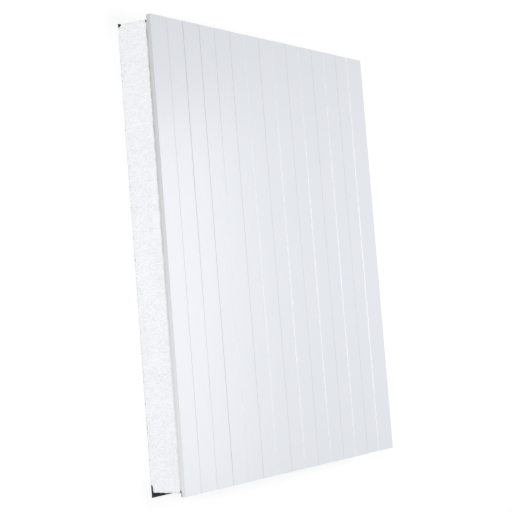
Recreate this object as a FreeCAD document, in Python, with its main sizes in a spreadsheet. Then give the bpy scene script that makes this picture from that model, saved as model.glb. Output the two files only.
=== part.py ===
"""An insulated wall panel: a block of white bead foam glued between two painted steel facings.

Millimetres. The panel lies on its inner facing: X runs across the width, Y along the length and Z up
through the thickness, from the middle of the underside. The outer facing, on top, is roll-formed with
shallow lengthwise recesses, and its long edges are folded down over the foam. Both facings run past
the foam at the two ends, where the foam is cut back by hand and not quite square. The inner facing is
a little longer than the outer one, at the -Y end.
"""
import FreeCAD, Part
import Sketcher
import os
import re

SIZES = [
    # name, value, what it is
    ("PanelWidth", "1200", "across the outer facing's folded edges"),
    ("OuterLength", "1550", "outer facing, end to end"),
    ("InnerFootLap", "7", "inner facing past the outer one at the -Y end; flush at the +Y end"),
    ("PanelThickness", "150", "underside of the inner facing to the crowns of the outer one"),
    ("SteelGauge", "0.5", "painted steel sheet, both facings"),
    ("BendInside", "1.0", "inside radius of every bend in the outer facing"),
    ("FlangeDepth", "18", "folded edge of the outer facing, down from the crowns"),
    ("RecessPitch", "158", "one recessed band and one raised band"),
    ("RecessFloor", "74", "flat floor of one recessed band"),
    ("RecessDepth", "1.5", "crowns down to the recessed bands"),
    ("FlankAngle", "25", "slope between the bands, degrees from flat"),
    ("NearStrip", "74.5", "raised strip between the -X edge and the first recess"),
    ("FarStrip", "60", "least raised strip between the last recess and the +X edge"),
    ("HeadGapOuter", "16", "foam short of the outer facing at the +Y end"),
    ("HeadGapInner", "4", "foam short of the inner facing at the +Y end"),
    ("FootGapOuter", "9", "foam short of the outer facing at the -Y end"),
    ("FootGapInner", "18", "foam short of the inner facing at the -Y end"),
    # what follows from the sizes above
    ("PanelLength", "=OuterLength + InnerFootLap", "inner facing, end to end"),
    ("FlankRun", "=RecessDepth / tan(FlankAngle)", "one sloping flank, seen from above"),
    ("RecessRim", "=RecessFloor + 2 * FlankRun", "one recess, at the crowns"),
    (
        "RecessCount",
        "=floor((PanelWidth - NearStrip - RecessRim - FarStrip) / RecessPitch) + 1",
        "recesses that fit between the two strips",
    ),
    ("FirstRecess", "=NearStrip + RecessRim / 2 - PanelWidth / 2", "middle of the first recess"),
    ("GaugeShift", "=SteelGauge * tan(FlankAngle / 2)", "bends of the underside, further out"),
    ("CoreWidth", "=PanelWidth - 2 * SteelGauge", "foam between the folded edges"),
    ("CoreTop", "=PanelThickness - SteelGauge", "underside of the outer facing's crowns"),
]
NEAR = 0.001          # mm, how near an edge or a face lies to the height it is looked for at
CUT_SLACK = 1e-6      # how far a cut's volume may be from the worked-out one, as a share
SHEET_SLACK = 0.01    # the same for the sheet, whose bends shorten its middle line a little

doc = FreeCAD.newDocument("insulated_panel")
sheet = doc.addObject("Spreadsheet::Sheet", "Sizes")
for row, (alias, value, note) in enumerate(SIZES, start=1):
    sheet.set(f"A{row}", alias)
    sheet.set(f"B{row}", value)
    sheet.set(f"C{row}", note)
    sheet.setAlias(f"B{row}", alias)
doc.recompute()


def size(text):
    """The number that an expression on the sheet's names gives."""
    return float(sheet.evalExpression(text))


def linked(text):
    """The same expression as an object outside the sheet writes it."""
    return re.sub(r"\b[A-Z]\w+", r"Sizes.\g<0>", text)


def new_body(label):
    """One piece of the panel, with the name that its file takes."""
    body = doc.addObject("PartDesign::Body", label)
    body.Label = label
    return body


def origin(body, role):
    """One of the body's own origin planes or axes."""
    return next(part for part in body.Origin.OriginFeatures if part.Role == role)


def outline(body, name, role, corners):
    """A closed outline on an origin plane, each corner held by two expressions from the origin."""
    sketch = body.newObject("Sketcher::SketchObject", name)
    sketch.AttachmentSupport = [(origin(body, role), "")]
    sketch.MapMode = "FlatFace"
    places = [FreeCAD.Vector(size(across), size(up), 0) for across, up in corners]
    for start, end in zip(places, places[1:] + places[:1]):
        sketch.addGeometry(Part.LineSegment(start, end), False)
    for line in range(len(places)):
        following = (line + 1) % len(places)
        sketch.addConstraint(Sketcher.Constraint("Coincident", line, 2, following, 1))
    for line, (across, up) in enumerate(corners):
        for kind, text in (("DistanceX", across), ("DistanceY", up)):
            held = Sketcher.Constraint(kind, -1, 1, line, 1, size(text))
            number = sketch.addConstraint(held)
            sketch.setExpression(f"Constraints[{number}]", linked(text))
    return sketch


def pad_both_ways(body, name, sketch, length):
    """A solid drawn out from its sketch, half of its length to each side."""
    pad = body.newObject("PartDesign::Pad", name)
    pad.Profile = sketch
    pad.SideType = "Symmetric"
    pad.setExpression("Length", linked(length))
    doc.recompute()
    return pad


def cut_recesses(body, surface, shift):
    """The lengthwise recesses, cut from a flat top: one, then its copies across the width.

    surface is the height of that top, and shift how far the bends stand outside the outer face's own.
    """
    half_floor = f"RecessFloor / 2 + {shift}"
    half_rim = f"RecessRim / 2 + {shift}"
    corners = [
        (f"FirstRecess - ({half_rim})", surface),
        (f"FirstRecess - ({half_floor})", f"{surface} - RecessDepth"),
        (f"FirstRecess + ({half_floor})", f"{surface} - RecessDepth"),
        (f"FirstRecess + ({half_rim})", surface),
    ]
    before = body.Tip.Shape.Volume
    pocket = body.newObject("PartDesign::Pocket", "Recess")
    pocket.Profile = outline(body, "RecessSection", "XZ_Plane", corners)
    pocket.SideType = "Symmetric"
    pocket.setExpression("Length", linked("PanelLength"))
    doc.recompute()
    pattern = body.newObject("PartDesign::LinearPattern", "Recesses")
    pattern.Originals = [pocket]
    pattern.Direction = (origin(body, "X_Axis"), [""])
    pattern.Mode = "Spacing"
    pattern.setExpression("Offset", linked("RecessPitch"))
    pattern.setExpression("Occurrences", linked("RecessCount"))
    body.Tip = pattern
    doc.recompute()
    return before - pattern.Shape.Volume


def bend(body, name, height, radius):
    """The long edges at one height, rounded."""
    base = body.Tip
    edges = [
        f"Edge{number}"
        for number, edge in enumerate(base.Shape.Edges, start=1)
        if edge.BoundBox.XLength < NEAR
        and edge.BoundBox.ZLength < NEAR
        and abs(edge.BoundBox.ZMin - size(height)) < NEAR
    ]
    fillet = body.newObject("PartDesign::Fillet", name)
    fillet.Base = (base, edges)
    fillet.setExpression("Radius", linked(radius))
    doc.recompute()
    return fillet


def expect(what, found, wanted, slack):
    """Stops the build where a feature has made less or more than it should."""
    if abs(found - wanted) > slack * wanted:
        raise RuntimeError(f"{what}: {found:.1f} mm3, where {wanted:.1f} was expected")


def recess_area():
    """The section of one recess."""
    return (size("RecessFloor") + size("FlankRun")) * size("RecessDepth")


def make_outer_facing():
    """The roll-formed steel tray: a recessed block, rounded at its bends and hollowed to the gauge."""
    body = new_body("outer_facing")
    half = "PanelWidth / 2"
    lip = "PanelThickness - FlangeDepth"
    section = outline(
        body,
        "TraySection",
        "XZ_Plane",
        [(f"-{half}", lip), (half, lip), (half, "PanelThickness"), (f"-{half}", "PanelThickness")],
    )
    pad_both_ways(body, "Tray", section, "OuterLength")
    cut = cut_recesses(body, "PanelThickness", "0")
    expect("recesses", cut, recess_area() * size("RecessCount * OuterLength"), CUT_SLACK)
    bend(body, "RimBends", "PanelThickness", "BendInside + SteelGauge")
    folded = bend(body, "FloorBends", "PanelThickness - RecessDepth", "BendInside")

    # the underside and the two ends are open, and the gauge is measured inwards
    kept_area = 0
    opened = []
    for number, face in enumerate(folded.Shape.Faces, start=1):
        box = face.BoundBox
        if box.ZMax < size(lip) + NEAR or box.YLength < NEAR:
            opened.append(f"Face{number}")
        else:
            kept_area += face.Area
    hollow = body.newObject("PartDesign::Thickness", "Gauge")
    hollow.Base = (folded, opened)
    hollow.Reversed = True
    hollow.Join = "Intersection"
    hollow.setExpression("Value", linked("SteelGauge"))
    doc.recompute()
    expect("outer facing", hollow.Shape.Volume, kept_area * size("SteelGauge"), SHEET_SLACK)
    body.setExpression("Placement.Base.y", linked("InnerFootLap / 2"))
    return body


def make_inner_facing():
    """The flat steel sheet on the inner side, cut square on all four edges."""
    body = new_body("inner_facing")
    half = "PanelWidth / 2"
    section = outline(
        body,
        "SheetSection",
        "XZ_Plane",
        [(f"-{half}", "0"), (half, "0"), (half, "SteelGauge"), (f"-{half}", "SteelGauge")],
    )
    pad_both_ways(body, "Sheet", section, "PanelLength")
    return body


def make_core():
    """The foam block, shaped on top to the underside of the outer facing."""
    body = new_body("foam_core")
    half = "PanelLength / 2"
    section = outline(
        body,
        "CoreSection",
        "YZ_Plane",
        [
            (f"-{half} + FootGapInner", "SteelGauge"),
            (f"{half} - HeadGapInner", "SteelGauge"),
            (f"{half} - HeadGapOuter", "CoreTop"),
            (f"-{half} + InnerFootLap + FootGapOuter", "CoreTop"),
        ],
    )
    pad_both_ways(body, "Block", section, "CoreWidth")
    cut_recesses(body, "CoreTop", "GaugeShift")
    bend(body, "RimBends", "CoreTop", "BendInside")
    bend(body, "FloorBends", "CoreTop - RecessDepth", "BendInside + SteelGauge")
    return body


def export(bodies):
    """Writes each piece to its own file, once every object and every solid is sound."""
    doc.recompute()
    failed = [part.Name for part in doc.Objects if {"Invalid", "Error"} & set(part.State)]
    if failed:
        raise RuntimeError(f"not built: {failed}")
    os.makedirs("parts", exist_ok=True)
    for body in bodies:
        shape = body.Shape
        if shape.isNull() or not shape.isValid() or len(shape.Solids) != 1:
            raise RuntimeError(f"{body.Label} is not one sound solid")
        shape.exportStep(f"parts/{body.Label}.step")
        print(f"{body.Label}: {shape.Volume / 1000:.1f} cm3, {len(shape.Faces)} faces")


export([make_outer_facing(), make_inner_facing(), make_core()])
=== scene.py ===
"""Looks of an insulated wall panel that lies on its inner facing.

The two steel facings are the frame's own solids with painted finishes. The foam block is modelled again
here, with the cut beads, the torn corners and the crumbled seam that its bare sides and ends show.
Metres: X across the width, Y along the length towards the head end, Z up.
"""
import bmesh
import bpy
import math
import random
from mathutils import Matrix, Vector, kdtree, noise


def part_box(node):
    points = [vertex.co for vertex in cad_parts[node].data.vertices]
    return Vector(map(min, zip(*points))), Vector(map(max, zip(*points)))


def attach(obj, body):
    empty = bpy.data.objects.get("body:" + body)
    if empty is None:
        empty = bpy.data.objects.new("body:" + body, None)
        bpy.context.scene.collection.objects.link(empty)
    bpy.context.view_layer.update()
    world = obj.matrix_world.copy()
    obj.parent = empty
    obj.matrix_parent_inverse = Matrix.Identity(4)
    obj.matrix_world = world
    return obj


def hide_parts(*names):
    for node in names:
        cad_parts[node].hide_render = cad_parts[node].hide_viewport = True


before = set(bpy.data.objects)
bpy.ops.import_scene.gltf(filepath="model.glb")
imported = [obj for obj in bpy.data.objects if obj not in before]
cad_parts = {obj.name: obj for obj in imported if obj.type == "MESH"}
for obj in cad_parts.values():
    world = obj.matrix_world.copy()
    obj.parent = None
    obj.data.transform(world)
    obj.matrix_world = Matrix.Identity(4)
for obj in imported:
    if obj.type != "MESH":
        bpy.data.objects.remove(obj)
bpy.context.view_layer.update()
OUTER_LOW, OUTER_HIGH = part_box("outer_facing")
INNER_LOW, INNER_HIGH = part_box("inner_facing")
FOAM_LOW, FOAM_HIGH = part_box("foam_core")
SEED = 11

# ---------------------------------------------------------------- sizes of the panel

GAUGE = INNER_HIGH.z - INNER_LOW.z    # of the steel sheet
LIP = OUTER_LOW.z                     # height of the lower edge of the folded long edges
NEAR_STRIP = 0.0745                   # raised strip between the -X edge and the first recess
RECESS_PITCH = 0.158
RECESS_FLOOR = 0.074
RECESS_DEPTH = 0.0015
RECESS_COUNT = 7
FLANK_ANGLE = math.radians(25)        # slope between two bands, from flat
FLANK_RUN = RECESS_DEPTH / math.tan(FLANK_ANGLE)
FIRST_RECESS = OUTER_LOW.x + NEAR_STRIP + RECESS_FLOOR / 2 + FLANK_RUN
LAST_RECESS = FIRST_RECESS + (RECESS_COUNT - 1) * RECESS_PITCH
HEAD_SKEW = 0.012                     # the head end of the foam leans in by this, up to its top
FOOT_SKEW = 0.002                     # the foot end leans in by this
NEAR = 1e-5                           # places this near to each other are taken as one

# ---------------------------------------------------------------- colours and finishes

WHITE = (1, 1, 1, 1)
PAINT = (0.729, 0.751, 0.796, 1)
# the glued side's backing coat, made near black as painted shade between the facings
BACKING_COAT_AND_SHADE = (0.022, 0.022, 0.023, 1)
BARE_STEEL = (0.52, 0.53, 0.54, 1)
# painted shade on the slopes between the bands
SLOPE_SHADE = (0.33, 0.325, 0.315, 1)
SLOPE_SHEEN = (0.93, 0.94, 0.955, 1)       # painted sheen on the rising slopes
FOLD_GREY_AT_FOOT = (0.79, 0.785, 0.775, 1)    # greyer paint on the folded edges, towards the foot
# darker paint on the folded edges, towards the head
FOLD_DARK_AT_HEAD = (0.50, 0.495, 0.48, 1)
# near black: painted shadow under the lips and in the knocked corners, and the dark mark on the foot's lip
DARK_MARK = (0.10, 0.10, 0.10, 1)
FOAM = (0.942, 0.949, 0.973)

PAINT_ROUGHNESS = 0.292
PAINT_GLOSS_SWING = 0.04              # how much the roughness wanders with handling
PAINT_CLOUDS_SWING = 0.01             # how much the tone wanders
BACKING_ROUGHER = 0.6                 # the backing coat, more than the paint
FOAM_ROUGHNESS = 0.85
FOAM_SPECULAR = 0.25

# textures: features in a metre, how they are stretched, and the relief that they give
CLOUDS_SCALE = 5.0
CLOUDS_STRETCH = (1.0, 0.25, 1.0)
HANDLING_SCALE = 14.0
PEEL_SCALE = 420.0
PEEL_DEPTH = 0.00005
PEEL_STRENGTH = 0.1
BEAD_DEPTH = 0.0006
BEAD_STRENGTH = 0.5
WIRE_MARKS_SCALE = 300.0
WIRE_MARKS_STRETCH = (1.0, 1.0, 0.16)
FOAM_PATCHES_SCALE = 16.0
LIP_SHADOW_SCALE = 26.0
SEAM_SCALE = 19.0
SEAM_WAVES_SCALE = 45.0
NOISE_REACH = (0.3, 0.7)              # a noise texture mostly keeps between these
NOISE_MIDDLE = 0.5

# how far a surface is turned towards an axis, as its normal's part along it
FACING = 0.7                          # from here it counts as facing that way
FOLD_TURN = (0.8, 0.98)               # the folded edge's own look sets in between these

# the painted shade and sheen on a slope, away from the middle of the slope
SLOPE_CORE = 0.3 * FLANK_RUN          # at full strength up to here
SLOPE_FADE = 0.0006                   # then faded out over this much more

# how strong the painted shade and sheen on the slopes are from place to place: smooth steps across and
# along the panel, each as from, to, and the strength at the two. The slopes are counted from the -X edge.
FALLING_SLOPE_SHADE = (
    [(-0.50, -0.42, 0.27, 0.94), (-0.34, -0.24, 1.0, 0.66), (0.15, 0.40, 1.0, 1.4)],
    [(0.0, 0.7, 1.0, 1.25)],
)
SECOND_SLOPE_SHADE = ([(-0.40, -0.34, 1.0, 0.0)], [(-0.8, 0.7, 0.06, 0.46)])
FOURTH_SLOPE_SHADE = (
    [(-0.40, -0.34, 0.0, 1.0), (-0.26, -0.18, 1.0, 0.0)],
    [(0.0, 0.6, 0.0, 0.28)],
)
# painted sheen on the rising slopes near the +X edge
RISING_SLOPE_SHEEN = ([(0.34, 0.50, 0.0, 0.3)], [])
FOLD_DARKENING = (OUTER_LOW.y - 0.2, OUTER_HIGH.y - 0.1)      # greyer at the first, darker at the second
FOLD_GREY_SHARE = 0.6
LIP_SHADOW = (LIP, LIP + 0.007, 0.13, 0.0)                  # painted shadow, going up from the lip
FOOT_LIP_MARK_STRENGTH = 0.75
SEAM_STRENGTH = (-0.7, 0.8, 0.13, 0.5)                     # going along
UNEVEN = (0.7, 1.25)                                       # least and most of an uneven finish

# the foam's tone, as factors of its colour, and painted light and shade on it
BEAD_TONES = (0.945, 1.035)
PATCH_TONES = (0.985, 1.01)
JOINT_SHADE = 0.11                    # the joints between beads are darker by this
PAINTED_LIGHT_UP_SIDE = (0.0, LIP, 1.02, 0.972)     # painted light: lighter low on the side, darker going up
# painted shade that darkens the foam just under the lip
PAINTED_SHADE_UNDER_LIP = (LIP - 0.012, LIP, 1.0, 0.975)

# beads as the hot wire leaves them
BEAD = 0.0042                         # size of one bead
BEAD_SQUASH = (1.3, 1.3, 0.75)
BEAD_DISORDER = 0.85
JOINT_WIDTH = 0.09                    # of a bead
WIRE_MARKS = (-0.25, 0.25)            # what they take from or add to a bead's tone

# painted shadow under the lip
SEAM_REACH = 0.0035                   # how far down it comes everywhere
SEAM_WANDER = 0.005                   # how much further it comes in places
SEAM_SOFTNESS = 0.0015
SEAM_SIDE = FOAM_HIGH.x - 0.004       # it lies on the long sides only, further out than this

# darkened places, as centre and reach: painted shade in two knocked corners of the foam, and a dark mark on
# the lip at the foot
KNOCKED = [
    ((FOAM_LOW.x, FOAM_HIGH.y - HEAD_SKEW, LIP), (0.012, 0.009, 0.010)),
    ((FOAM_LOW.x, FOAM_LOW.y, LIP), (0.008, 0.016, 0.006)),
]
FOOT_LIP_MARK = ((OUTER_LOW.x, OUTER_LOW.y, LIP), (0.004, 0.022, 0.005))
MARK_EDGE = (0.8, 1.1)                # a darkened place fades between these shares of its reach

# ---------------------------------------------------------------- sizes of the foam's skin

CELL = 0.0032                         # side of one face on the bare foam
SIDE_PARTS = 20                       # parts that a long side is divided into before its cells
SMOOTH_BELOW = math.radians(50)
BARE_DEPTH = 0.006                    # skin this near to a cut face is bare

# what is gone from the foam: how many times, how large (least and most, then the commonest), and how
# much longer that is across, along and up
LOST_ON_SIDES = 260
LOST_ON_ENDS = 200
LOST_BEAD = (0.0022, 0.0036)
CRUMBS_ALONG_SIDES = 90
SIDE_CRUMB = (0.0004, 0.0014, 0.0006)
SIDE_CRUMB_SHAPE = (1.0, 2.0, 1.8)
CRUMBS_ALONG_ENDS = 160
END_CRUMB = (0.0008, 0.0030, 0.0012)
END_CRUMB_SHAPE = (1.5, 1.0, 1.0)
CRUMBS_AT_CORNERS = 60
CORNER_CRUMB = (0.002, 0.0045)
CORNER_CRUMB_SHAPE = (1.0, 1.0, 1.4)
CRUMBS_CLEAR = 0.06                   # no crumb is gone from a long edge this near to its ends
CRUMB_TILT = 0.6                      # a crumb at a top or bottom edge also goes up or down by this
BEAD_PROUD = 0.2                      # a lost bead's centre lies this share of its reach outside
KNOCK_DEPTH = 0.8                     # a knocked corner is pushed in by this share of its darkened reach
RAGGED = 0.25                         # how uneven the edge of a bite is
RAGGED_GRAIN = 0.7                    # size of that unevenness, as a share of the bite's least reach

# the corners torn off the -X edge: the end (1 head, -1 foot), the reach and the way in
TORN = [
    (1, (0.016, 0.008, 0.012), (1, -0.3, 0.5)),
    (-1, (0.006, 0.024, 0.006), (1, 0.6, 0.7)),
]

# the foam under the lips has crumbled back by this much, more or less, and unevenly
SEAM_CRUMBLED = 0.0009
SEAM_CRUMBLED_SWING = 0.0006
SEAM_CRUMBLED_SCALE = 60

# relief of the bare faces: name, kind of texture, size and depth
RELIEF = [
    ("wire_waves", "CLOUDS", 0.09, 0.0008),
    ("bead_relief", "VORONOI", 1.4 * BEAD, 0.0007),
]

# ---------------------------------------------------------------- camera, lamps and floor

CAMERA_AT = Vector((-3.2744, -0.2527, 2.700))
CAMERA_AIM = Vector((-0.158, -0.0097, 0.150))
CAMERA_UP = Vector((0.0029, 0.9951, 0.0984))
CAMERA_LENS = 81.5
CAMERA_SENSOR = 36.0
CAMERA_CLIP = 200

FACE_MIDDLE = (0, 0, OUTER_HIGH.z)
LAMPS = [
    # name, place, aim, size, watts, and whether the paint mirrors it
    ("sheen", (2.258, -0.145, 2.962), FACE_MIDDLE, (2.76, 0.58), 40.0, True),
    ("key", (-4.684, -0.062, 2.393), FACE_MIDDLE, (1.57, 1.57), 112.0, False),
    ("side", (-6.0, -0.2, 1.1), (-0.6, -0.1, 0.07), (4.8, 1.2), 19.5, False),
    ("overhead", (0.424, 0.0, 3.303), (0.424, 0.0, 0.0), (1.35, 1.84), 33.0, True),
]
SKY_STRENGTH = 0.30                   # the light that the sky gives, under the white that is seen
FLOOR_SIZE = 60.0
FLOOR_DROP = 0.0004                   # the floor lies this far under the panel
FLOOR_MATT = (0.8, 0.8, 0.8, 1)       # what the floor gives back to the panel
FLOOR_SHADED = (0.34, 0.34, 0.34, 1)  # the part of the seen floor that takes the shadow
FLOOR_GLOW = (1.8, 6.0, 0.72, 1.0)    # the part that glows, going away from the panel


# ---------------------------------------------------------------- node helpers

class Graph:
    """Adds nodes to a tree. Each input is given as a socket to link or as a plain value."""

    def __init__(self, tree):
        self.tree = tree

    def feed(self, node, inputs):
        """Gives a node its inputs, by name or number."""
        for key, value in inputs.items():
            if isinstance(value, bpy.types.NodeSocket):
                self.tree.links.new(value, node.inputs[key])
            else:
                node.inputs[key].default_value = value

    def add(self, kind, inputs=None, out=0, **settings):
        """A new node with its settings and inputs. Gives one of its outputs."""
        node = self.tree.nodes.new(kind)
        for name, value in settings.items():
            setattr(node, name, value)
        self.feed(node, inputs or {})
        return node.outputs[out]

    def use(self, group, inputs=None):
        """A node group placed in this tree, with its own values. Gives all its outputs."""
        return self.add("ShaderNodeGroup", inputs, node_tree=group).node.outputs

    def where(self):
        """The place of a point on its object."""
        return self.add("ShaderNodeTexCoord", out="Object")

    def split(self, vector):
        """The three parts of a vector: across, along and up."""
        return self.add("ShaderNodeSeparateXYZ", {0: vector}).node.outputs

    def calc(self, operation, *values, clamp=False):
        """One step of arithmetic."""
        inputs = dict(enumerate(values))
        return self.add("ShaderNodeMath", inputs, operation=operation, use_clamp=clamp)

    def product(self, first, *others):
        """Values multiplied with each other."""
        for value in others:
            first = self.calc("MULTIPLY", first, value)
        return first

    def unsigned(self, value):
        """A value without its sign."""
        return self.calc("ABSOLUTE", value)

    def ramp(self, value, low, high, at_low=0.0, at_high=1.0):
        """A smooth step, from at_low where the value is low to at_high where it is high."""
        inputs = {"Value": value, "From Min": low, "From Max": high, "To Min": at_low, "To Max": at_high}
        return self.add("ShaderNodeMapRange", inputs, interpolation_type="SMOOTHSTEP")

    def noise(self, place, scale, detail=2.0, roughness=0.5):
        """Soft unevenness in all directions."""
        inputs = {"Vector": place, "Scale": scale, "Detail": detail, "Roughness": roughness}
        return self.add("ShaderNodeTexNoise", inputs)

    def noise_along(self, along, scale):
        """Soft unevenness along the panel only."""
        return self.add("ShaderNodeTexNoise", {"W": along, "Scale": scale}, noise_dimensions="1D")

    def stretch(self, place, factors):
        """A place whose three parts are multiplied, for a pattern that is longer one way."""
        return self.add("ShaderNodeMapping", {"Vector": place, "Scale": factors})

    def mix(self, share, first, second):
        """Two colours, of which the second has the given share."""
        return self.add("ShaderNodeMix", {0: share, 6: first, 7: second}, out=2, data_type="RGBA")

    def tint(self, colour, factor):
        """A colour made lighter or darker by a factor."""
        return self.add("ShaderNodeVectorMath", {0: colour, "Scale": factor}, operation="SCALE")

    def bump(self, height, strength, depth):
        """A normal that shows a small relief."""
        inputs = {"Height": height, "Strength": strength, "Distance": depth}
        return self.add("ShaderNodeBump", inputs)


class Group(Graph):
    """A new node group for an effect that is then placed in materials."""

    def __init__(self, name, inputs):
        """Inputs are names with their usual values: a number or a colour."""
        super().__init__(bpy.data.node_groups.new(name, "ShaderNodeTree"))
        for title, value in inputs.items():
            kind = "NodeSocketFloat" if isinstance(value, float) else "NodeSocketColor"
            socket = self.tree.interface.new_socket(title, in_out="INPUT", socket_type=kind)
            socket.default_value = value
        self.given = self.tree.nodes.new("NodeGroupInput").outputs

    def finish(self, results):
        """Names what the group puts out, and gives the finished group."""
        for title, value in results.items():
            kind = "NodeSocketFloat" if value.type == "VALUE" else "NodeSocketColor"
            self.tree.interface.new_socket(title, in_out="OUTPUT", socket_type=kind)
        self.feed(self.tree.nodes.new("NodeGroupOutput"), results)
        return self.tree


def material(name):
    """A new node material and its graph."""
    made = bpy.data.materials.new(name)
    made.use_nodes = True
    return made, Graph(made.node_tree)


def wear(node, made):
    """Puts one material on every face of a frame node."""
    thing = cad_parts[node]
    thing.data.materials.clear()
    thing.data.materials.append(made)
    for face in thing.data.polygons:
        face.material_index = 0


# ---------------------------------------------------------------- places of dirt and wear

def strength_at(g, place, across_steps, along_steps):
    """How strong a painted mark is from place to place: the product of its smooth steps."""
    across, along, _ = place
    steps = [g.ramp(across, *step) for step in across_steps]
    steps += [g.ramp(along, *step) for step in along_steps]
    return g.product(*steps)


def uneven_along(g, along, scale):
    """A factor about 1 that comes and goes along the panel."""
    return g.ramp(g.noise_along(along, scale), *NOISE_REACH, *UNEVEN)


def around(g, centre, reach):
    """1 within an ellipsoid, with a soft edge."""
    away = g.add("ShaderNodeVectorMath", {0: g.where(), 1: centre}, operation="SUBTRACT")
    away = g.add("ShaderNodeVectorMath", {0: away, 1: reach}, operation="DIVIDE")
    away = g.add("ShaderNodeVectorMath", {0: away}, out="Value", operation="LENGTH")
    return g.ramp(away, *MARK_EDGE, 1.0, 0.0)


# ---------------------------------------------------------------- painted steel

def make_sheet_parts():
    """Which part of a painted sheet a point is on: glued side, cut edge, folded edge, or none of them."""
    g = Group("sheet_parts", {"Glued Side": -1.0})
    coords = g.add("ShaderNodeTexCoord").node.outputs
    x, _, z = g.split(coords["Object"])
    across, along, up = g.split(coords["Normal"])

    # both ends are cut, and so are the lips of the folded edges
    ends = g.calc("GREATER_THAN", g.unsigned(along), FACING)
    at_lip = g.calc("LESS_THAN", g.unsigned(g.calc("SUBTRACT", z, LIP)), GAUGE / 4)
    lips = g.product(at_lip, g.calc("LESS_THAN", up, -FACING))
    cut = g.calc("MAXIMUM", ends, lips)

    # the glued side faces the foam, up or down on the flat and inwards on the folded edges, and it
    # reaches as far as the foam does
    flat = g.calc("GREATER_THAN", g.product(up, g.given["Glued Side"]), FACING)
    outwards = g.product(across, g.calc("SIGN", x))
    folded_in = g.calc("LESS_THAN", outwards, -FACING)
    covered = g.calc("LESS_THAN", g.unsigned(x), FOAM_HIGH.x + GAUGE / 4)
    glued = g.product(g.calc("MAXIMUM", flat, folded_in), g.calc("SUBTRACT", covered, cut, clamp=True))
    return g.finish({"Backing": glued, "Cut": cut, "Fold": g.ramp(outwards, *FOLD_TURN)})


def make_lines():
    """The slopes between the bands: those that fall towards +X and those that rise."""
    g = Group("lines", {"Fade": SLOPE_FADE})
    x, _, _ = g.split(g.where())
    half = RECESS_PITCH / 2
    off_middle = g.calc("WRAP", g.calc("SUBTRACT", x, FIRST_RECESS), half, -half)
    off_slope = g.calc("SUBTRACT", g.unsigned(off_middle), (RECESS_FLOOR + FLANK_RUN) / 2)
    edge = g.calc("ADD", g.given["Fade"], SLOPE_CORE)
    line = g.calc("DIVIDE", g.calc("SUBTRACT", edge, g.unsigned(off_slope)), g.given["Fade"], clamp=True)
    line = g.product(line, g.calc("LESS_THAN", x, LAST_RECESS + half))
    rising = g.calc("GREATER_THAN", off_middle, 0.0)
    falling = g.calc("SUBTRACT", 1.0, rising)
    return g.finish({"Falling": g.product(line, falling), "Rising": g.product(line, rising)})


def make_coil_coat():
    """Satin coil coating: a faint orange peel, faint clouds in the tone, and small differences in gloss."""
    g = Group("coil_coat", {"Colour": WHITE, "Clouds": PAINT_CLOUDS_SWING})
    where = g.where()
    clouds = g.noise(g.stretch(where, CLOUDS_STRETCH), CLOUDS_SCALE, detail=3.0)
    clouds = g.calc("SUBTRACT", clouds, NOISE_MIDDLE)
    factor = g.calc("MULTIPLY_ADD", clouds, g.given["Clouds"], 1.0)
    handling = g.noise(where, HANDLING_SCALE, detail=4.0, roughness=0.6)
    return g.finish({
        "Colour": g.tint(g.given["Colour"], factor),
        "Gloss Change": g.calc("SUBTRACT", handling, NOISE_MIDDLE),
        "Height": g.noise(where, PEEL_SCALE),
    })


def painted_steel(name, glued_side, parts, coat, lines=None):
    """Coil-coated steel: painted outside, a backing coat on the glued side made near black as painted
    shade, bare cut edges.
    """
    made, g = material(name)
    place = g.split(g.where())
    part = g.use(parts, {"Glued Side": glued_side})
    finish = g.use(coat, {"Colour": PAINT})
    colour = finish["Colour"]
    if lines:
        # painted shade and sheen on the slopes; the folded edges' tone and painted shadow along their lips
        colour = paint_slope_shade_and_sheen(g, colour, g.use(lines), place)
        colour = add_fold_tone_and_lip_shadow(g, colour, part["Fold"], place)
    # the glued side, near black: its backing coat with painted shade
    colour = g.mix(part["Backing"], colour, BACKING_COAT_AND_SHADE)
    colour = g.mix(part["Cut"], colour, BARE_STEEL)
    rough = g.calc("MULTIPLY_ADD", finish["Gloss Change"], PAINT_GLOSS_SWING, PAINT_ROUGHNESS)
    rough = g.calc("MULTIPLY_ADD", part["Backing"], BACKING_ROUGHER, rough)
    g.feed(g.tree.nodes["Principled BSDF"], {
        "Base Color": colour,
        "Roughness": rough,
        "Metallic": part["Cut"],
        "Normal": g.bump(finish["Height"], PEEL_STRENGTH, PEEL_DEPTH),
    })
    return made


def paint_slope_shade_and_sheen(g, colour, slopes, place):
    """Painted shade on the slopes: the falling ones all over, two rising ones near the -X edge.

    The rising ones near the +X edge get a painted sheen instead.
    """
    falling = g.calc("MULTIPLY", slopes["Falling"], strength_at(g, place, *FALLING_SLOPE_SHADE), clamp=True)
    second = strength_at(g, place, *SECOND_SLOPE_SHADE)
    fourth = strength_at(g, place, *FOURTH_SLOPE_SHADE)
    rising = g.product(slopes["Rising"], g.calc("ADD", second, fourth))
    colour = g.mix(g.calc("MAXIMUM", falling, rising), colour, SLOPE_SHADE)
    return g.mix(g.product(slopes["Rising"], strength_at(g, place, *RISING_SLOPE_SHEEN)), colour, SLOPE_SHEEN)


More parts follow.
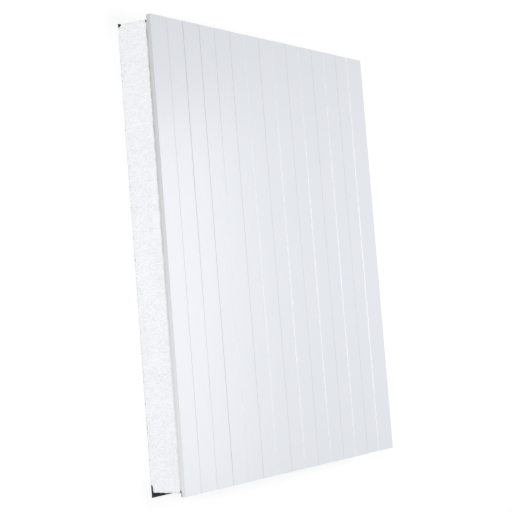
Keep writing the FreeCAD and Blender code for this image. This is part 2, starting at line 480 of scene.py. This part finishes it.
def add_fold_tone_and_lip_shadow(g, colour, fold, place):
    """The folded edges' paint is greyer, and darker towards the head; painted shadow along the lip.

    One corner of the lip has a dark mark.
    """
    _, along, up = place
    fold_tone = g.mix(g.ramp(along, *FOLD_DARKENING), FOLD_GREY_AT_FOOT, FOLD_DARK_AT_HEAD)
    colour = g.mix(g.product(fold, FOLD_GREY_SHARE), colour, fold_tone)
    # painted shadow along the lip, uneven along the panel
    shadowed = g.product(fold, g.ramp(up, *LIP_SHADOW), uneven_along(g, along, LIP_SHADOW_SCALE))
    colour = g.mix(shadowed, colour, DARK_MARK)
    # a dark mark on the lip at the foot corner
    return g.mix(g.product(around(g, *FOOT_LIP_MARK), FOOT_LIP_MARK_STRENGTH), colour, DARK_MARK)


# ---------------------------------------------------------------- bead foam

def make_cut_beads():
    """Beads of foam cut by a hot wire: each its own tone, with fine dark joints between them."""
    g = Group("cut_beads", {"Size": BEAD})
    where = g.where()
    cells = {
        "Vector": g.stretch(where, BEAD_SQUASH),
        "Scale": g.calc("DIVIDE", 1.0, g.given["Size"]),
        "Randomness": BEAD_DISORDER,
    }
    tone = g.add("ShaderNodeSeparateColor", {0: g.add("ShaderNodeTexVoronoi", cells, out="Color")})
    edge = g.add("ShaderNodeTexVoronoi", cells, feature="DISTANCE_TO_EDGE")
    marks = g.noise(g.stretch(where, WIRE_MARKS_STRETCH), WIRE_MARKS_SCALE)
    return g.finish({
        "Tone": g.calc("ADD", tone, g.ramp(marks, *NOISE_REACH, *WIRE_MARKS)),
        "Joint": g.ramp(edge, 0.0, JOINT_WIDTH, 1.0, 0.0),
        "Height": g.calc("SQRT", edge),
    })


def bead_foam():
    """White bead foam, with painted shadow in the seams under the lips, painted shade in two knocked
    corners, and painted light low on the sides.
    """
    made, g = material("bead_foam")
    where = g.where()
    place = g.split(where)
    beads = g.use(make_cut_beads())
    tone = g.product(
        g.ramp(beads["Tone"], 0.0, 1.0, *BEAD_TONES),
        g.ramp(g.noise(where, FOAM_PATCHES_SCALE), *NOISE_REACH, *PATCH_TONES),
        g.calc("MULTIPLY_ADD", beads["Joint"], -JOINT_SHADE, 1.0),
        # painted light up the side and painted shade under the lip
        g.ramp(place["Z"], *PAINTED_LIGHT_UP_SIDE),
        g.ramp(place["Z"], *PAINTED_SHADE_UNDER_LIP),
    )
    g.feed(g.tree.nodes["Principled BSDF"], {
        # painted shadow under the lips and painted shade in the knocked corners
        "Base Color": g.mix(painted_seam_and_knock_shade(g, place), g.tint(FOAM, tone), DARK_MARK),
        "Roughness": FOAM_ROUGHNESS,
        "Specular IOR Level": FOAM_SPECULAR,
        "Normal": g.bump(beads["Height"], BEAD_STRENGTH, BEAD_DEPTH),
    })
    return made


def painted_seam_and_knock_shade(g, place):
    """A painted shadow where the foam meets the lip of a folded edge, stronger towards the head end.

    The two knocked corners get painted shade too.
    """
    across, along, up = place
    waves = g.noise_along(along, SEAM_WAVES_SCALE)
    low = g.calc("MULTIPLY_ADD", waves, -SEAM_WANDER, LIP - SEAM_REACH)
    amount = g.product(
        g.ramp(along, *SEAM_STRENGTH),
        g.ramp(g.calc("SUBTRACT", up, low), -SEAM_SOFTNESS, SEAM_SOFTNESS),
        g.calc("GREATER_THAN", g.unsigned(across), SEAM_SIDE),
        uneven_along(g, along, SEAM_SCALE),
    )
    for knock in KNOCKED:
        amount = g.calc("MAXIMUM", amount, around(g, *knock))
    return amount


# ---------------------------------------------------------------- foam block

def select(mesh, kind, test):
    """Selects, in edit mode, the edges or the faces that a test picks."""
    bpy.ops.mesh.select_mode(type=kind)
    bpy.ops.mesh.select_all(action="DESELECT")
    live = bmesh.from_edit_mesh(mesh)
    for item in live.edges if kind == "EDGE" else live.faces:
        if test(item):
            item.select_set(True)
    live.select_flush_mode()
    bmesh.update_edit_mesh(mesh)


def run(edge, axis):
    """How far an edge runs along an axis."""
    return abs((edge.verts[1].co - edge.verts[0].co)[axis])


def on_rim(edge, end):
    """Whether an edge lies in the top and belongs to one end: 1 is the head, -1 the foot."""
    top = FOAM_HIGH.z - 2 * RECESS_DEPTH
    return all(vertex.co.y * end > 0 and vertex.co.z > top for vertex in edge.verts)


def on_end(edge):
    """Whether an edge lies in one of the two end faces."""
    near_end = FOAM_HIGH.y - 2 * HEAD_SKEW
    return all(abs(vertex.co.y) > near_end for vertex in edge.verts) and run(edge, 1) < CELL


def on_side(edge):
    """Whether an edge lies in one of the two long faces."""
    return all(FOAM_HIGH.x - abs(vertex.co.x) < NEAR for vertex in edge.verts)


def make_foam():
    """The foam block: its section's recesses, its leaning ends, and a fine skin on every bare face."""
    bpy.ops.object.select_all(action="DESELECT")
    bpy.ops.mesh.primitive_cube_add(size=1, location=(FOAM_HIGH + FOAM_LOW) / 2)
    block = bpy.context.object
    block.name = "cut_foam_block"
    block.scale = FOAM_HIGH - FOAM_LOW
    bpy.ops.object.transform_apply(location=True, rotation=True, scale=True)
    mesh = block.data
    bpy.ops.object.mode_set(mode="EDIT")
    sink_recesses(mesh)
    lean_ends(mesh)
    divide_skin(mesh)
    bpy.ops.object.mode_set(mode="OBJECT")
    skin = Skin(mesh)
    lose_beads(skin)
    break_corners(skin)
    crumble_seam(mesh)
    roughen(block)
    bpy.ops.object.shade_smooth_by_angle(angle=SMOOTH_BELOW)
    return block


def sink_recesses(mesh):
    """Each recess gets two bends at its rim and two at its floor, and then the floors go down."""
    floors = []
    half = RECESS_FLOOR / 2
    for number in range(RECESS_COUNT):
        middle = FIRST_RECESS + number * RECESS_PITCH
        floors.append((middle - half, middle + half))
        for bend in (middle - half - FLANK_RUN, middle - half, middle + half, middle + half + FLANK_RUN):
            bpy.ops.mesh.select_all(action="SELECT")
            bpy.ops.mesh.bisect(plane_co=(bend, 0, 0), plane_no=(1, 0, 0))

    def is_floor(face):
        middle = face.calc_center_median()
        return middle.z > FOAM_HIGH.z - NEAR and any(low < middle.x < high for low, high in floors)

    select(mesh, "FACE", is_floor)
    bpy.ops.transform.translate(value=(0, 0, -RECESS_DEPTH))


def lean_ends(mesh):
    """Both ends lean in towards the top."""
    for end, skew in ((1, HEAD_SKEW), (-1, FOOT_SKEW)):
        select(mesh, "EDGE", lambda edge: on_rim(edge, end))
        bpy.ops.transform.translate(value=(0, -end * skew, 0))


def divide(mesh, test, parts):
    """Divides the edges that a test picks into equal parts."""
    select(mesh, "EDGE", test)
    bpy.ops.mesh.subdivide(number_cuts=parts - 1)


def cells_in(length):
    """How many cells a length is divided into."""
    return round(length / CELL)


def divide_skin(mesh):
    """The fine skin: rows up the thickness, then columns on the ends, then columns along the sides."""
    size = FOAM_HIGH - FOAM_LOW
    divide(mesh, lambda edge: run(edge, 2) > size.z / 2, cells_in(size.z))
    for width in sorted({round(run(edge, 0), 5) for edge in bmesh.from_edit_mesh(mesh).edges}):
        if width > 2 * CELL:
            divide(mesh, lambda edge: on_end(edge) and abs(run(edge, 0) - width) < NEAR, cells_in(width))
    part = size.y / SIDE_PARTS
    divide(mesh, lambda edge: on_side(edge) and run(edge, 1) > size.y / 2, SIDE_PARTS)
    divide(mesh, lambda edge: on_side(edge) and run(edge, 1) > part / 2, cells_in(part))


class Skin:
    """The foam's surface, pushed in where foam is missing."""

    def __init__(self, mesh):
        self.mesh = mesh
        self.tree = kdtree.KDTree(len(mesh.vertices))
        for vertex in mesh.vertices:
            self.tree.insert(vertex.co, vertex.index)
        self.tree.balance()

    def bite(self, centre, reach, inwards):
        """Takes away what lies in an uneven ellipsoid, by moving its skin inwards to the far side."""
        centre = Vector(centre)
        inwards = Vector(inwards).normalized()
        grain = RAGGED_GRAIN * min(reach)
        for place, index, _ in self.tree.find_range(centre, max(reach) * (1 + RAGGED)):
            uneven = 1 + RAGGED * noise.noise(place / grain)
            scale = [1 / (r * uneven) for r in reach]
            off = Vector([(p - c) * k for p, c, k in zip(place, centre, scale)])
            way = Vector([i * k for i, k in zip(inwards, scale)])
            if off.length >= 1:
                continue
            a, b = way.length_squared, off.dot(way)
            moved = place + inwards * ((math.sqrt(b * b + a * (1 - off.length_squared)) - b) / a)
            vertex = self.mesh.vertices[index]
            if (moved - place).length > (vertex.co - place).length:
                vertex.co = moved


def end_y(end, z):
    """Where a bite at an end of the foam is centred: on the head's face, and near the foot's."""
    share = (z - FOAM_LOW.z) / (FOAM_HIGH.z - FOAM_LOW.z)
    if end > 0:
        return FOAM_HIGH.y - HEAD_SKEW * share
    return FOAM_LOW.y + FOOT_SKEW * (1 - share)


def either():
    """One of the two sides or ends, by chance."""
    return random.choice((-1, 1))


def scaled(size, shape):
    """A shape's three reaches at a size."""
    return [size * share for share in shape]


def lose_beads(skin):
    """Single beads that have come out of the cut faces, and crumbs gone from the edges."""
    low, high = FOAM_LOW, FOAM_HIGH
    for _ in range(LOST_ON_SIDES):
        side = either()
        size = random.uniform(*LOST_BEAD)
        at = Vector((side * high.x, random.uniform(low.y, high.y), random.uniform(low.z, LIP)))
        skin.bite(at + Vector((side * BEAD_PROUD * size, 0, 0)), (size, size, size), (-side, 0, 0))
    for _ in range(LOST_ON_ENDS):
        end = either()
        size = random.uniform(*LOST_BEAD)
        z = random.uniform(low.z, high.z)
        at = (random.uniform(low.x, high.x), end_y(end, z) + end * BEAD_PROUD * size, z)
        skin.bite(at, (size, size, size), (0, -end, 0))
    for _ in range(CRUMBS_ALONG_SIDES):
        side = either()
        size = random.triangular(*SIDE_CRUMB)
        at = (side * high.x, random.uniform(low.y + CRUMBS_CLEAR, high.y - CRUMBS_CLEAR), low.z)
        skin.bite(at, scaled(size, SIDE_CRUMB_SHAPE), (-side, 0, CRUMB_TILT))
    for _ in range(CRUMBS_ALONG_ENDS):
        end = either()
        size = random.triangular(*END_CRUMB)
        z = random.choice((low.z, high.z))
        at = (random.uniform(low.x, high.x), end_y(end, z), z)
        tilt = CRUMB_TILT if z == low.z else -CRUMB_TILT
        skin.bite(at, scaled(size, END_CRUMB_SHAPE), (0, -end, tilt))
    for _ in range(CRUMBS_AT_CORNERS):
        side, end = either(), either()
        size = random.uniform(*CORNER_CRUMB)
        z = random.uniform(low.z, high.z)
        at = (side * high.x, end_y(end, z), z)
        skin.bite(at, scaled(size, CORNER_CRUMB_SHAPE), (-side, -end, 0))


def break_corners(skin):
    """The torn corners, where the glued side of the inner facing shows near black with painted shade, and
    the knocked ones.
    """
    for end, reach, inwards in TORN:
        skin.bite((FOAM_LOW.x, end_y(end, FOAM_LOW.z), FOAM_LOW.z), reach, inwards)
    for centre, reach in KNOCKED:
        end = 1 if centre[1] > 0 else -1
        skin.bite(centre, scaled(KNOCK_DEPTH, reach), (1, -end, 0))


def crumble_seam(mesh):
    """The foam falls back a little under the lip of each folded edge."""
    for vertex in mesh.vertices:
        place = vertex.co
        if FOAM_HIGH.x - abs(place.x) < NEAR and place.z > LIP - 0.75 * CELL:
            swing = SEAM_CRUMBLED_SWING * noise.noise(place * SEAM_CRUMBLED_SCALE)
            place.x -= math.copysign(SEAM_CRUMBLED + swing, place.x)


def is_bare(place):
    """Whether a point lies on a cut face, clear of the rims that are glued to the steel."""
    if not FOAM_LOW.z + CELL / 2 < place.z < FOAM_HIGH.z - RECESS_DEPTH - CELL / 2:
        return False
    side = abs(place.x) > FOAM_HIGH.x - BARE_DEPTH and place.z < LIP
    end = abs(place.y) > abs(end_y(math.copysign(1, place.y), place.z)) - BARE_DEPTH
    return side or end


def roughen(block):
    """Waves left by the cutting wire, then the rise and fall of the single beads."""
    bare = block.vertex_groups.new(name="bare")
    bare.add([vertex.index for vertex in block.data.vertices if is_bare(vertex.co)], 1.0, "REPLACE")
    for name, kind, size, depth in RELIEF:
        texture = bpy.data.textures.new(name, kind)
        texture.noise_scale = size
        relief = block.modifiers.new(name, "DISPLACE")
        relief.texture = texture
        relief.texture_coords = "LOCAL"
        relief.vertex_group = bare.name
        relief.mid_level = 1.0
        relief.strength = depth
        bpy.ops.object.modifier_apply(modifier=name)
    block.vertex_groups.clear()


# ---------------------------------------------------------------- stage

def seen_directly(g):
    """1 for camera, glossy and transmission rays, and 0 for the light that a surface passes on."""
    path = g.add("ShaderNodeLightPath").node.outputs
    seen = g.calc("MAXIMUM", path["Is Camera Ray"], path["Is Glossy Ray"])
    return g.calc("MAXIMUM", seen, path["Is Transmission Ray"])


def add_floor():
    """A white floor that keeps the panel's soft shadow."""
    bpy.ops.object.select_all(action="DESELECT")
    bpy.ops.mesh.primitive_plane_add(size=FLOOR_SIZE, location=(0, 0, -FLOOR_DROP))
    floor = bpy.context.object
    floor.name = "floor"
    made, g = material("white_floor")
    g.tree.nodes.remove(g.tree.nodes["Principled BSDF"])
    away = g.add("ShaderNodeVectorMath", {0: g.where()}, out="Value", operation="LENGTH")
    glow = g.add("ShaderNodeEmission", {"Strength": g.ramp(away, *FLOOR_GLOW)})
    shaded = g.add("ShaderNodeBsdfDiffuse", {"Color": FLOOR_SHADED})
    shown = g.add("ShaderNodeAddShader", {0: shaded, 1: glow})
    matt = g.add("ShaderNodeBsdfDiffuse", {"Color": FLOOR_MATT})
    both = g.add("ShaderNodeMixShader", {0: seen_directly(g), 1: matt, 2: shown})
    g.feed(g.tree.nodes["Material Output"], {"Surface": both})
    floor.data.materials.append(made)


def add_camera():
    """The camera, turned to its aim with its own way up."""
    data = bpy.data.cameras.new("camera")
    data.lens = CAMERA_LENS
    data.sensor_width = CAMERA_SENSOR
    data.clip_end = CAMERA_CLIP
    camera = bpy.data.objects.new("camera", data)
    bpy.context.scene.collection.objects.link(camera)
    back = (CAMERA_AT - CAMERA_AIM).normalized()
    right = CAMERA_UP.cross(back).normalized()
    turn = Matrix((right, back.cross(right), back)).transposed()
    camera.matrix_world = Matrix.Translation(CAMERA_AT) @ turn.to_4x4()
    bpy.context.scene.camera = camera


def add_sky():
    """A sky that is seen white and lights the panel less."""
    world = bpy.data.worlds.new("studio")
    bpy.context.scene.world = world
    world.use_nodes = True
    g = Graph(world.node_tree)
    shine = g.ramp(seen_directly(g), 0.0, 1.0, SKY_STRENGTH, 1.0)
    g.feed(g.tree.nodes["Background"], {"Color": WHITE, "Strength": shine})


def add_lamp(name, place, aim, size, watts, mirrored):
    """A soft rectangular lamp that points at a place. It is never seen, and the paint may mirror it."""
    data = bpy.data.lights.new(name, "AREA")
    data.shape = "RECTANGLE"
    data.size, data.size_y = size
    data.energy = watts
    lamp = bpy.data.objects.new(name, data)
    lamp.location = place
    lamp.rotation_euler = (Vector(aim) - Vector(place)).to_track_quat("-Z", "Y").to_euler()
    lamp.visible_camera = False
    lamp.visible_glossy = mirrored
    bpy.context.scene.collection.objects.link(lamp)


# ---------------------------------------------------------------- the panel

random.seed(SEED)
bpy.context.scene.view_settings.view_transform = "Standard"
add_camera()
add_sky()
for lamp in LAMPS:
    add_lamp(*lamp)
add_floor()
sheet_parts = make_sheet_parts()
coil_coat = make_coil_coat()
wear("outer_facing", painted_steel("outer_paint", -1.0, sheet_parts, coil_coat, make_lines()))
wear("inner_facing", painted_steel("inner_paint", 1.0, sheet_parts, coil_coat))
foam = make_foam()
foam.data.materials.append(bead_foam())
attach(foam, "root")
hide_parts("foam_core")
